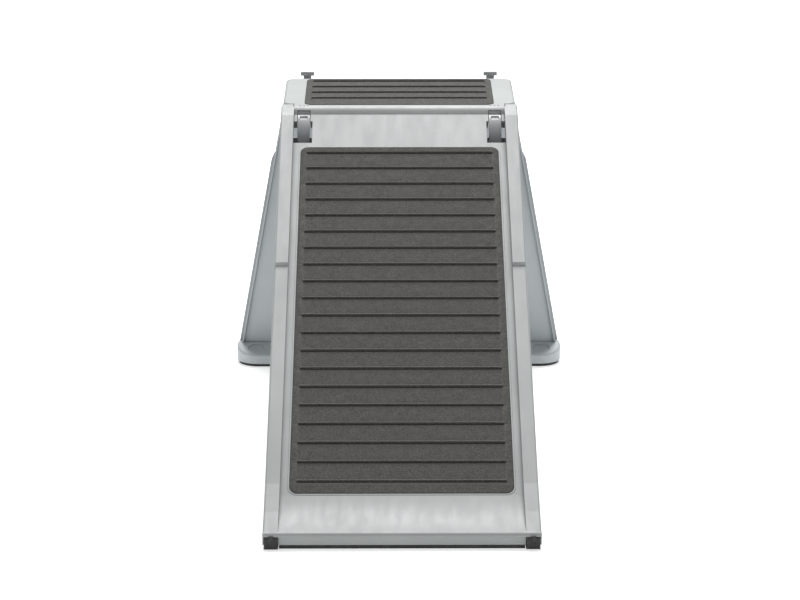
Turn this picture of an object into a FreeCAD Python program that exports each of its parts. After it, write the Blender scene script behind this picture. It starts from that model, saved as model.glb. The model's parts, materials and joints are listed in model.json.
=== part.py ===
import FreeCAD, Part
import math
import os
import Sketcher
from FreeCAD import Placement, Rotation, Vector

# Free-standing dog ramp: a long moulded ramp, a short platform and a flared rear leg.
# Millimetres. Origin on the floor below the middle of the bounding box, +Z up, -Y towards the toe.
# The ramp frame, the platform frame and the leg frame each have their origin on a hinge axis.
# In the ramp and platform frames z is the height over the hinge axis, square to the surface.

SIZES = (
    ("panel_width", 400.0),
    ("slope", 30.44),
    ("tilt", 5.0),
    ("hinge_y", 318.9),
    ("hinge_z", 479.9),
    ("toe_y", -521.6),
    ("toe_rubber", 5.5),
    ("toe_round", 6.0),
    ("toe_fall", 3.5),
    ("lip_high", 18.0),
    ("lip_back", 2.5),
    ("wall", 4.0),
    ("nose_radius", 14.0),
    ("hinge_gap", 1.8),
    ("cheek_radius", 17.0),
    ("pin_radius", 4.0),
    ("pin_play", 0.05),
    ("pin_head", 7.0),
    ("head_thick", 2.0),
    ("pin_inner", 134.0),
    ("clip_radius", 6.5),
    ("clip_thick", 1.5),
    ("nose_bore", 10.0),
    ("nose_bore_half", 138.0),
    ("deck_z", 10.0),
    ("rail_inner", 178.0),
    ("rail_high", 24.0),
    ("rail_low", 20.0),
    ("rail_step", 388.0),
    ("rail_fade", 850.0),
    ("rail_ease", 3.0),
    ("skirt_z", -30.0),
    ("sweep_start", 864.0),
    ("mat_start", 97.0),
    ("mat_end", 861.0),
    ("mat_half", 164.5),
    ("mat_corner", 13.0),
    ("mat_thick", 3.0),
    ("mat_sink", 2.0),
    ("mat_gap", 0.4),
    ("rim_width", 2.4),
    ("rim_height", 0.4),
    ("tread_first", 110.5),
    ("tread_pitch", 38.25),
    ("tread_width", 4.4),
    ("tread_top", 2.6),
    ("tread_height", 3.0),
    ("tread_margin", 10.0),
    ("arm_x", 161.5),
    ("arm_width", 20.7),
    ("arm_eye", 11.0),
    ("arm_bend", 58.0),
    ("arm_thick", 5.0),
    ("slot_in", 146.7),
    ("slot_end", 85.0),
    ("slot_step", 30.0),
    ("tail_end", 112.0),
    ("seat_end", 116.0),
    ("seat_screw", 96.0),
    ("seat_screw_step", 10.0),
    ("seat_thick", 4.0),
    ("seat_z", -22.0),
    ("foot_in", 177.8),
    ("foot_out", 198.0),
    ("foot_high", 17.3),
    ("foot_deep", 40.0),
    ("foot_proud", 3.0),
    ("foot_play", 0.3),
    ("foot_screw_back", 20.0),
    ("platform_half", 198.5),
    ("platform_depth", 192.0),
    ("platform_skirt", -18.0),
    ("platform_corner", 14.0),
    ("pad_start", 8.5),
    ("pad_end", 184.5),
    ("pad_half", 161.0),
    ("pad_tread_first", 48.9),
    ("lug_axis_y", 170.0),
    ("lug_axis_z", -27.0),
    ("lug_radius", 9.0),
    ("lug_width", 8.5),
    ("rear_eye_width", 14.0),
    ("rear_eye", 8.5),
    ("stop_width", 24.0),
    ("leg_top", -14.0),
    ("leg_front", -4.0),
    ("leg_back", 22.0),
    ("leg_half_top", 206.0),
    ("leg_half_floor", 289.0),
    ("leg_rim", 3.0),
    ("leg_dish", 6.0),
    ("leg_wall", 3.5),
    ("base_front", -49.0),
    ("base_back", 34.0),
    ("base_half", 291.0),
    ("base_high", 33.0),
    ("ledge_front", 21.0),
    ("base_corner", 40.0),
    ("sole_thick", 5.0),
    ("dimple_x", 256.0),
    ("dimple_radius", 15.0),
    ("flange_out", 4.5),
    ("flange_low", 28.0),
    ("flange_high", 378.0),
    ("screw_radius", 2.0),
    ("screw_head", 4.0),
    ("screw_head_thick", 2.2),
    ("rear_screw_drop", 40.0),
    ("rear_screw_step", 20.0),
    ("rear_pin_head", 6.5),
    ("rib_thick", 3.0),
    ("deck_rib_start", 203.0),
    ("deck_rib_pitch", 98.0),
    ("deck_rib_low", -14.0),
    ("pad_rib_start", 60.0),
    ("pad_rib_pitch", 45.0),
    ("pad_rib_low", -6.0),
    ("spine_x", 60.0),
    ("slat_low", 160.0),
    ("slat_pitch", 110.0),
    ("post_x", 70.0),
    ("post_pitch", 60.0),
)
TREADS = 20
PAD_TREADS = 4
DECK_RIBS = 8
PAD_RIBS = 3
LEG_SLATS = 3
SIDES = (("left", -1), ("right", 1))

doc = FreeCAD.newDocument("dog_ramp")


class Size:
    """A length or angle that carries its number and the sheet expression behind it."""

    def __init__(self, value, text=None):
        self.value = float(value)
        self.text = text if text is not None else repr(float(value))

    def __add__(self, other):
        other = as_size(other)
        return Size(self.value + other.value, "(%s + %s)" % (self.text, other.text))

    def __radd__(self, other):
        return as_size(other) + self

    def __sub__(self, other):
        other = as_size(other)
        return Size(self.value - other.value, "(%s - %s)" % (self.text, other.text))

    def __rsub__(self, other):
        return as_size(other) - self

    def __mul__(self, other):
        other = as_size(other)
        return Size(self.value * other.value, "(%s * %s)" % (self.text, other.text))

    def __rmul__(self, other):
        return as_size(other) * self

    def __truediv__(self, other):
        other = as_size(other)
        return Size(self.value / other.value, "(%s / %s)" % (self.text, other.text))

    def __neg__(self):
        return Size(-self.value, "(0 - %s)" % self.text)


def as_size(number):
    return number if isinstance(number, Size) else Size(number)


def sine(angle):
    return Size(math.sin(math.radians(angle.value)), "sin(%s)" % angle.text)


def cosine(angle):
    return Size(math.cos(math.radians(angle.value)), "cos(%s)" % angle.text)


class Sheet:
    """The driving dimensions, one aliased cell each, readable as attributes."""

    def __init__(self, sizes):
        self.sheet = doc.addObject("Spreadsheet::Sheet", "Sizes")
        for row, (alias, value) in enumerate(sizes, start=1):
            cell = "B%d" % row
            self.sheet.set("A%d" % row, alias)
            self.sheet.set(cell, repr(value))
            self.sheet.setAlias(cell, alias)
            setattr(self, alias, Size(value, "Sizes." + alias))


sz = Sheet(SIZES)
leg_axis_y = sz.hinge_y + sz.lug_axis_y * cosine(sz.tilt) - sz.lug_axis_z * sine(sz.tilt)
leg_axis_z = sz.hinge_z + sz.lug_axis_y * sine(sz.tilt) + sz.lug_axis_z * cosine(sz.tilt)
doc.recompute()


# ---------------------------------------------------------------- helpers

def bind(item, path, size):
    """Binds a property of a document object to a sheet expression."""
    item.setExpression(path, as_size(size).text)


def place(item, x=0, y=0, z=0, angle=0, axis=Vector(1, 0, 0)):
    """Sets a placement and binds its numbers to the sheet."""
    sizes = [as_size(v) for v in (x, y, z)]
    spot = Vector(*[s.value for s in sizes])
    item.Placement = Placement(spot, Rotation(axis, as_size(angle).value))
    for letter, size in zip("xyz", sizes):
        bind(item, "Placement.Base." + letter, size)
    if as_size(angle).value:
        bind(item, "Placement.Rotation.Angle", angle)
    return item


def on_ramp(item):
    return place(item, 0, sz.hinge_y, sz.hinge_z, sz.slope)


def on_platform(item):
    return place(item, 0, sz.hinge_y, sz.hinge_z, sz.tilt)


def on_leg(item):
    return place(item, 0, leg_axis_y, leg_axis_z)


def from_toe(back, high):
    """Ramp-frame y and z of a point given behind the lip face and above the floor."""
    dy = sz.toe_y + back - sz.hinge_y
    dz = as_size(high) - sz.hinge_z
    return (
        dy * cosine(sz.slope) + dz * sine(sz.slope),
        dz * cosine(sz.slope) - dy * sine(sz.slope),
    )


def new_body(label):
    body = doc.addObject("PartDesign::Body", label)
    body.Label = label
    return body


def new_sketch(body, role, offset=0):
    """A sketch on one of the body's own origin planes, shifted along its normal."""
    sketch = body.newObject("Sketcher::SketchObject", body.Name + "_sketch")
    plane = [o for o in body.Origin.OriginFeatures if o.Role == role][0]
    sketch.AttachmentSupport = [(plane, "")]
    sketch.MapMode = "FlatFace"
    shift = as_size(offset)
    sketch.AttachmentOffset = Placement(Vector(0, 0, shift.value), Rotation())
    bind(sketch, "AttachmentOffset.Base.z", shift)
    return sketch


def tilted_sketch(body, y, z, angle, sign=1):
    """A sketch through a point of the body, tilted about x; sign -1 tilts it towards +y."""
    sketch = new_sketch(body, "XY_Plane")
    turn = Rotation(Vector(sign, 0, 0), angle.value)
    sketch.AttachmentOffset = Placement(Vector(0, as_size(y).value, as_size(z).value), turn)
    bind(sketch, "AttachmentOffset.Base.y", y)
    bind(sketch, "AttachmentOffset.Base.z", z)
    bind(sketch, "AttachmentOffset.Rotation.Angle", angle)
    return sketch


def pin_point(sketch, edge, end, x, y):
    """Ties a vertex of a sketch to the sketch's origin with two bound distances."""
    for kind, size in (("DistanceX", as_size(x)), ("DistanceY", as_size(y))):
        rule = sketch.addConstraint(Sketcher.Constraint(kind, -1, 1, edge, end, size.value))
        bind(sketch, "Constraints[%d]" % rule, size)


def arc_between(start, end, radius):
    """A counter-clockwise arc; a negative radius bows to the left of the way from start to end."""
    chord = end - start
    mid = (start + end) * 0.5
    side = Vector(chord.y, -chord.x, 0).normalize()
    reach = math.sqrt(radius ** 2 - (chord.Length / 2) ** 2)
    centre = mid - side * math.copysign(reach, radius)
    first, last = (start, end) if radius > 0 else (end, start)
    begin = math.atan2(first.y - centre.y, first.x - centre.x)
    finish = math.atan2(last.y - centre.y, last.x - centre.x)
    if finish < begin:
        finish += 2 * math.pi
    return Part.ArcOfCircle(Part.Circle(centre, Vector(0, 0, 1), abs(radius)), begin, finish)


def outline(sketch, points):
    """Closes a loop through the points; a third item makes the next edge an arc of that radius."""
    count = len(points)
    spots = [Vector(as_size(p[0]).value, as_size(p[1]).value, 0) for p in points]
    base = sketch.GeometryCount
    heads = []
    for i, point in enumerate(points):
        start, end = spots[i], spots[(i + 1) % count]
        if len(point) == 2:
            sketch.addGeometry(Part.LineSegment(start, end), False)
            heads.append(1)
        else:
            sketch.addGeometry(arc_between(start, end, point[2].value), False)
            heads.append(1 if point[2].value > 0 else 2)
    for i, point in enumerate(points):
        pin_point(sketch, base + i, heads[i], point[0], point[1])
    for i, point in enumerate(points):
        after = (i + 1) % count
        sketch.addConstraint(
            Sketcher.Constraint("Coincident", base + i, 3 - heads[i], base + after, heads[after]))
        if len(point) == 3:
            size = point[2] if point[2].value > 0 else -point[2]
            rule = sketch.addConstraint(Sketcher.Constraint("Radius", base + i, size.value))
            bind(sketch, "Constraints[%d]" % rule, size)
    return sketch


def rectangle(sketch, x0, x1, y0, y1):
    return outline(sketch, ((x0, y0), (x1, y0), (x1, y1), (x0, y1)))


def rounded(sketch, half, y0, y1, corner):
    """A rectangle about x = 0 with four equal round corners."""
    near = as_size(corner)
    left, right = -as_size(half), as_size(half)
    low, high = as_size(y0), as_size(y1)
    points = (
        (left + near, low), (right - near, low, near),
        (right, low + near), (right, high - near, near),
        (right - near, high), (left + near, high, near),
        (left, high - near), (left, low + near, near),
    )
    return outline(sketch, points)


def circle(sketch, x, y, radius):
    spot = Vector(as_size(x).value, as_size(y).value, 0)
    edge = sketch.addGeometry(Part.Circle(spot, Vector(0, 0, 1), as_size(radius).value), False)
    pin_point(sketch, edge, 3, x, y)
    rule = sketch.addConstraint(Sketcher.Constraint("Radius", edge, as_size(radius).value))
    bind(sketch, "Constraints[%d]" % rule, radius)
    return sketch


def feature(body, kind, sketch, length, side="One side", reverse=False):
    item = body.newObject("PartDesign::" + kind, body.Name + "_" + kind.lower())
    item.Profile = sketch
    item.SideType = side
    item.Reversed = reverse
    bind(item, "Length", length)
    sketch.Visibility = False
    return item


def pad(body, sketch, length, side="One side", reverse=False):
    return feature(body, "Pad", sketch, length, side, reverse)


def pocket(body, sketch, length, side="One side", reverse=False):
    """A cut that has to take material away."""
    doc.recompute()
    before = body.Shape.Volume
    item = feature(body, "Pocket", sketch, length, side, reverse)
    doc.recompute()
    if body.Shape.Volume > before - 0.5:
        raise RuntimeError("%s cuts nothing" % item.Name)
    return item


def across(body, x0, x1, outline_points, cut=False):
    """Pads or cuts a y-z outline between two distances from the centre, on both sides."""
    for sign in (-1, 1):
        start = as_size(x0) if sign > 0 else -as_size(x1)
        sketch = outline(new_sketch(body, "YZ_Plane", start), outline_points)
        if cut:
            pocket(body, sketch, as_size(x1) - x0, reverse=True)
        else:
            pad(body, sketch, as_size(x1) - x0)


def across_round(body, x0, x1, y, z, radius, cut=False):
    """Pads or cuts a round bar along x between two distances from the centre, on both sides."""
    for sign in (-1, 1):
        start = as_size(x0) if sign > 0 else -as_size(x1)
        sketch = circle(new_sketch(body, "YZ_Plane", start), y, z, radius)
        if cut:
            pocket(body, sketch, as_size(x1) - x0, reverse=True)
        else:
            pad(body, sketch, as_size(x1) - x0)


def repeat(body, item, role, count, pitch, reverse=False):
    """Repeats a feature along one of the body's own axes."""
    row = body.newObject("PartDesign::LinearPattern", body.Name + "_row")
    row.Originals = [item]
    axis = [o for o in body.Origin.OriginFeatures if o.Role == role][0]
    row.Direction = (axis, [""])
    row.Reversed = reverse
    row.Occurrences = count
    bind(row, "Length", as_size(pitch) * (count - 1))
    body.Tip = row
    return row


def ease(body, radius, wanted):
    """Fillets the edges that the test picks out."""
    doc.recompute()
    tip = body.Tip
    names = []
    for i, edge in enumerate(tip.Shape.Edges, start=1):
        if wanted(edge):
            names.append("Edge%d" % i)
    if not names:
        raise RuntimeError("%s has no edge to ease" % body.Label)
    item = body.newObject("PartDesign::Fillet", body.Name + "_fillet")
    item.Base = (tip, names)
    bind(item, "Radius", radius)
    doc.recompute()
    if "Invalid" in item.State or not item.Shape.isValid():
        raise RuntimeError("%s fillet fails" % body.Label)
    return item


def middle(edge):
    return edge.valueAt((edge.FirstParameter + edge.LastParameter) / 2)


def rod(name, radius, start, length, y, z):
    """A plain round bar along x."""
    item = doc.addObject("Part::Cylinder", name)
    bind(item, "Radius", radius)
    bind(item, "Height", length)
    return place(item, start, y, z, 90, Vector(0, 1, 0))


def post(name, radius, height, x, y, z):
    """A plain round bar along z."""
    item = doc.addObject("Part::Cylinder", name)
    bind(item, "Radius", radius)
    bind(item, "Height", height)
    return place(item, x, y, z)


def peg(name, radius, length, x, y, z):
    """A plain round bar along y."""
    item = doc.addObject("Part::Cylinder", name)
    bind(item, "Radius", radius)
    bind(item, "Height", length)
    return place(item, x, y, z, -90, Vector(1, 0, 0))


def fuse(label, shapes):
    item = doc.addObject("Part::MultiFuse", label)
    item.Label = label
    item.Shapes = shapes
    return item


def cut(label, base, tool):
    item = doc.addObject("Part::Cut", label)
    item.Label = label
    item.Base = base
    item.Tool = tool
    return item


def group(label, links):
    item = doc.addObject("Part::Compound", label)
    item.Label = label
    item.Links = links
    return item


# ---------------------------------------------------------------- ramp

def toe_band_end():
    """Where the flat band above the toe runs into the round nose, in the ramp frame."""
    back = sz.toe_round - sz.toe_round * sine(sz.toe_fall)
    high = sz.lip_high + sz.toe_round * cosine(sz.toe_fall)
    return from_toe(back, high)


def build_ramp_panel():
    """Ramp moulding: deck, rails, skirt, end cheeks, round toe nose and ribs below the deck."""
    body = new_body("ramp_panel")
    half = sz.panel_width / 2
    lip_low = from_toe(0, sz.toe_rubber)
    heel = skirt_heel(sz.skirt_z)
    shell = [
        (0, sz.cheek_radius),
        (-30, sz.rail_high),
        (-sz.rail_step, sz.rail_high),
        (-sz.rail_step - 3, sz.rail_low),
        (-sz.rail_fade, sz.rail_low),
        from_toe(46, 41),
    ]
    band_top = toe_band_end()
    lip_top = from_toe(0, sz.lip_high)
    shell += [
        band_top + (sz.toe_round,), lip_top, lip_low, heel, (-30, sz.skirt_z), (0, -sz.cheek_radius),
    ]
    pad(body, outline(new_sketch(body, "YZ_Plane"), shell), sz.panel_width, "Symmetric")
    ease(body, sz.rail_ease, lambda e: abs(abs(middle(e).x) - half.value) < 0.01
         and middle(e).z > sz.cheek_radius.value and middle(e).y > band_top[0].value)
    across_round(body, sz.rail_inner + 1.5, half, 0, 0, sz.cheek_radius)
    setback = [
        from_toe(-3, sz.lip_high), from_toe(0, sz.lip_high), from_toe(sz.lip_back, sz.lip_high - 1),
        from_toe(sz.lip_back, -4), from_toe(-3, -4),
    ]
    pocket(body, outline(new_sketch(body, "YZ_Plane"), setback), sz.panel_width + 20, "Symmetric")

    run = band_top[0] + sz.sweep_start
    rise = band_top[1] - sz.deck_z
    sweep = (run * run + rise * rise) / (rise * 2)
    trough = [
        (20, sz.deck_z),
        (-sz.sweep_start, sz.deck_z, -sweep),
        band_top,
        (band_top[0], sz.deck_z + 40),
        (20, sz.deck_z + 40),
    ]
    pocket(body, outline(new_sketch(body, "YZ_Plane"), trough), sz.rail_inner * 2, "Symmetric")

    inner_z = sz.deck_z - sz.wall
    hollow = [
        (-24, inner_z),
        (-sz.sweep_start, inner_z, -sweep - sz.wall),
        from_toe(46, 26),
        from_toe(46, -20),
        (-600, -90),
        (-24, -90),
    ]
    pocket(body, outline(new_sketch(body, "YZ_Plane"), hollow), sz.panel_width - sz.wall * 2, "Symmetric")
    toe_hollow = [
        from_toe(47, 26), from_toe(47, -5), from_toe(6.5, -5), from_toe(6.5, 19.5), from_toe(20, 21),
    ]
    pocket(body, outline(new_sketch(body, "YZ_Plane"), toe_hollow), sz.foot_in * 2 - 8, "Symmetric")
    rail_hollow = [
        (-24, inner_z - 1),
        (-24, sz.rail_low - sz.wall),
        (-sz.rail_fade, sz.rail_low - sz.wall),
        (-sz.rail_fade, inner_z - 1),
    ]
    across(body, sz.rail_inner + sz.wall, half - sz.wall, rail_hollow, cut=True)

    gap_radius = sz.nose_radius + sz.hinge_gap
    throat = circle(new_sketch(body, "YZ_Plane"), 0, 0, gap_radius)
    pocket(body, throat, sz.rail_inner * 2 + 3, "Symmetric")
    below = [(1, -60), (-24, -60), (-24, -10), (1, -10)]
    pocket(body, outline(new_sketch(body, "YZ_Plane"), below), sz.rail_inner * 2 + 3, "Symmetric")

    snug = sz.arm_width / 2 + 0.8
    slots = (
        (sz.slot_in, sz.rail_inner, -sz.slot_end, -sz.slot_step),
        (sz.arm_x - snug, sz.arm_x + snug, -sz.slot_step - 1, 20),
    )
    for near, far, y0, y1 in slots:
        for sign in (-1, 1):
            notch = new_sketch(body, "XY_Plane", 60)
            rectangle(notch, as_size(near) * sign, as_size(far) * sign, y0, y1)
            pocket(body, notch, 120)
    seat_low = sz.seat_z - sz.seat_thick
    seat_end = -sz.seat_end
    seat = [(seat_end, sz.seat_z), (-36, sz.seat_z), (-36, seat_low), (seat_end, seat_low)]
    across(body, sz.slot_in - 8, half - sz.wall / 2, seat)
    wall_top = inner_z + 2
    wall_in = seat_end + sz.rib_thick
    end_wall = [(seat_end, wall_top), (wall_in, wall_top), (wall_in, seat_low), (seat_end, seat_low)]
    pad(body, outline(new_sketch(body, "YZ_Plane"), end_wall), sz.panel_width - sz.wall, "Symmetric")
    side_wall = [(seat_end + 1, wall_top), (-20, wall_top), (-36, seat_low), (seat_end + 1, seat_low)]
    across(body, sz.slot_in - 8, sz.slot_in - 4, side_wall)

    bore = sz.pin_radius + sz.pin_play
    across_round(body, sz.rail_inner, half + 1, 0, 0, bore, cut=True)
    across_round(body, half - 2.6, half + 1, 0, 0, 7.4, cut=True)

    rim = new_sketch(body, "XY_Plane", sz.deck_z - 1)
    edge = sz.mat_gap + sz.rim_width
    rounded(rim, sz.mat_half + edge, -sz.mat_end - edge, -sz.mat_start + edge, sz.mat_corner + sz.rim_width)
    pad(body, rim, sz.rim_height + 1)
    doc.recompute()
    recess = new_sketch(body, "XY_Plane", sz.deck_z - sz.mat_sink)
    rounded(recess, sz.mat_half + sz.mat_gap, -sz.mat_end - sz.mat_gap, -sz.mat_start + sz.mat_gap,
            sz.mat_corner)
    pocket(body, recess, 20, reverse=True)

    room_deep = sz.foot_deep + 1
    room_high = sz.foot_high + sz.foot_play
    foot_room = [
        from_toe(-6, -4), from_toe(room_deep, -4), from_toe(room_deep, room_high), from_toe(-6, room_high),
    ]
    across(body, sz.foot_in - sz.foot_play, sz.foot_out + sz.foot_play, foot_room, cut=True)
    foot_bores = tilted_sketch(body, *from_toe(sz.foot_screw_back, room_high - 1), sz.slope, -1)
    for sign in (-1, 1):
        circle(foot_bores, (sz.foot_in + sz.foot_out) / 2 * sign, 0, sz.screw_radius + sz.pin_play)
    pocket(body, foot_bores, 10.4, reverse=True)
    rib_low, rib_start = sz.deck_rib_low, -sz.deck_rib_start
    rib_end = rib_start + sz.rib_thick
    cross = [(rib_start, inner_z + 1), (rib_end, inner_z + 1), (rib_end, rib_low), (rib_start, rib_low)]
    rib = pad(body, outline(new_sketch(body, "YZ_Plane"), cross), sz.panel_width - sz.wall, "Symmetric")
    doc.recompute()
    repeat(body, rib, "Y_Axis", DECK_RIBS - 1, sz.deck_rib_pitch, reverse=True)
    doc.recompute()
    fade = -sz.rail_fade
    spine = [(seat_end + 1, inner_z + 1), (seat_end + 1, rib_low), (fade, rib_low), (fade, inner_z + 1)]
    across(body, sz.spine_x, sz.spine_x + sz.rib_thick, spine)
    doc.recompute()
    bores = new_sketch(body, "XY_Plane", sz.seat_z - 10)
    for sign in (-1, 1):
        for spot in seat_screws():
            circle(bores, sz.arm_x * sign, spot, sz.screw_radius + sz.pin_play)
    pocket(body, bores, 12, reverse=True)
    return on_ramp(body)


def seat_screws():
    """Places along the ramp of the two screws of an arm."""
    return (-sz.seat_screw, -sz.seat_screw - sz.seat_screw_step)


def rear_screws():
    """Heights against the leg's axis of the two screws of a rear arm."""
    return (-sz.rear_screw_drop, -sz.rear_screw_drop - sz.rear_screw_step)


def skirt_heel(skirt):
    """Where the skirt's straight lower edge meets the flat under the toe, in the ramp frame."""
    rise = (sz.toe_rubber - sz.hinge_z - as_size(skirt) * cosine(sz.slope)) / sine(sz.slope)
    return rise, as_size(skirt)


def treads(body, half, first, count, top, reverse):
    """Raised cross bars of a mat, blunt wedges that stop short of the mat's sides."""
    wide, narrow = sz.tread_width / 2, sz.tread_top / 2
    base = as_size(top) - 0.5
    crest = as_size(top) + sz.tread_height
    bar = [(first - wide, base), (first + wide, base), (first + narrow, crest), (first - narrow, crest)]
    item = pad(body, outline(new_sketch(body, "YZ_Plane"), bar), as_size(half) * 2, "Symmetric")
    doc.recompute()
    repeat(body, item, "Y_Axis", count, sz.tread_pitch, reverse)


def build_mat(label, half, start, end, base, first, count, reverse):
    """A ribbed mat with round corners, sunk into its panel."""
    body = new_body(label)
    sheet = rounded(new_sketch(body, "XY_Plane", base), half, start, end, sz.mat_corner)
    pad(body, sheet, sz.mat_thick)
    treads(body, as_size(half) - sz.tread_margin, first, count, as_size(base) + sz.mat_thick, reverse)
    return body


def build_front_arm(side, sign):
    """Hinge arm: an eye on the hinge pin and a strap that dives into the ramp's slot."""
    body = new_body("front_arm_" + side)
    start = sz.arm_x * sign - sz.arm_width / 2
    eye = circle(new_sketch(body, "YZ_Plane", start), 0, 0, sz.arm_eye)
    pad(body, eye, sz.arm_width)
    turn = sz.arm_bend
    inner = turn - sz.arm_thick
    top_y, top_z = -20, sz.deck_z + 0.5
    centre_z = top_z - turn
    tail_z = sz.seat_z + sz.arm_thick - 1
    dive_out = chord(turn, centre_z, tail_z, top_y)
    dive_in = chord(inner, centre_z, sz.seat_z, top_y)
    strap = [
        (-5, 6.6),
        (-8.4, 7.2),
        (-13, top_z - 1),
        (top_y, top_z, turn),
        (dive_out, tail_z),
        (-sz.tail_end, tail_z),
        (-sz.tail_end, sz.seat_z),
        (dive_in, sz.seat_z, -inner),
        (top_y, top_z - sz.arm_thick),
        (-12, 3),
        (-5, -6),
    ]
    pad(body, outline(new_sketch(body, "YZ_Plane", start), strap), sz.arm_width)
    bore = circle(new_sketch(body, "YZ_Plane", start - 1), 0, 0, sz.pin_radius + sz.pin_play)
    pocket(body, bore, sz.arm_width + 2, reverse=True)
    window = rectangle(
        new_sketch(body, "XY_Plane", top_z + 3), sz.arm_x * sign - 6.5, sz.arm_x * sign + 6.5, -26, -17)
    pocket(body, window, 5)
    holes = new_sketch(body, "XY_Plane", 0)
    for spot in seat_screws():
        circle(holes, sz.arm_x * sign, spot, sz.screw_radius + sz.pin_play)
    pocket(body, holes, 40)
    return on_ramp(body)


def chord(radius, centre_z, z, centre_y):
    """y of the point at height z on the toe side of a circle."""
    rise = as_size(z) - centre_z
    run = math.sqrt(radius.value ** 2 - rise.value ** 2)
    text = "sqrt((%s) ^ 2 - (%s) ^ 2)" % (radius.text, rise.text)
    return as_size(centre_y) - Size(run, text)


def build_ramp_feet():
    """Rubber corner feet at the toe, each with its screw, and the rubber strip between them."""
    nodes = []
    screws = []
    for side, sign in SIDES:
        body = new_body("ramp_foot_" + side)
        x0 = sz.foot_in if sign > 0 else -sz.foot_out
        x1 = sz.foot_out if sign > 0 else -sz.foot_in
        base = rectangle(new_sketch(body, "XY_Plane"), x0, x1, -sz.foot_proud, sz.foot_deep)
        pad(body, base, sz.foot_high)
        doc.recompute()
        ease(body, 2.5, lambda e: middle(e).y < -1 and e.Length > 10)
        mid = (x0 + x1) / 2
        tab = new_sketch(body, "XY_Plane", sz.foot_high - 3)
        rectangle(tab, mid - 3, mid + 3, -sz.foot_proud, -0.4)
        pad(body, tab, 5.5)
        back = sz.foot_screw_back
        well = circle(new_sketch(body, "XY_Plane", -1), mid, back, sz.screw_head + 0.5)
        pocket(body, well, 7.5, reverse=True)
        hole = circle(new_sketch(body, "XY_Plane", -1), mid, back, sz.screw_radius + sz.pin_play)
        pocket(body, hole, 40, reverse=True)
        nodes.append(place(body, 0, sz.toe_y, 0))
        head = post("foot_screw_head_" + side, sz.screw_head, 2.4, mid, sz.toe_y + back, 4)
        shank = post("foot_screw_shank_" + side, sz.screw_radius, 20, mid, sz.toe_y + back, 6)
        screws.append(fuse("foot_screw_" + side, [head, shank]))
    nodes.append(group("ramp_foot_screws", screws))
    strip = new_body("ramp_toe_strip")
    inset = sz.foot_in - 1.5
    ground = rectangle(new_sketch(strip, "XY_Plane"), -inset, inset, sz.lip_back + 0.4, 30)
    pad(strip, ground, sz.toe_rubber)
    nodes.append(place(strip, 0, sz.toe_y, 0))
    return nodes


# ---------------------------------------------------------------- platform

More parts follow.
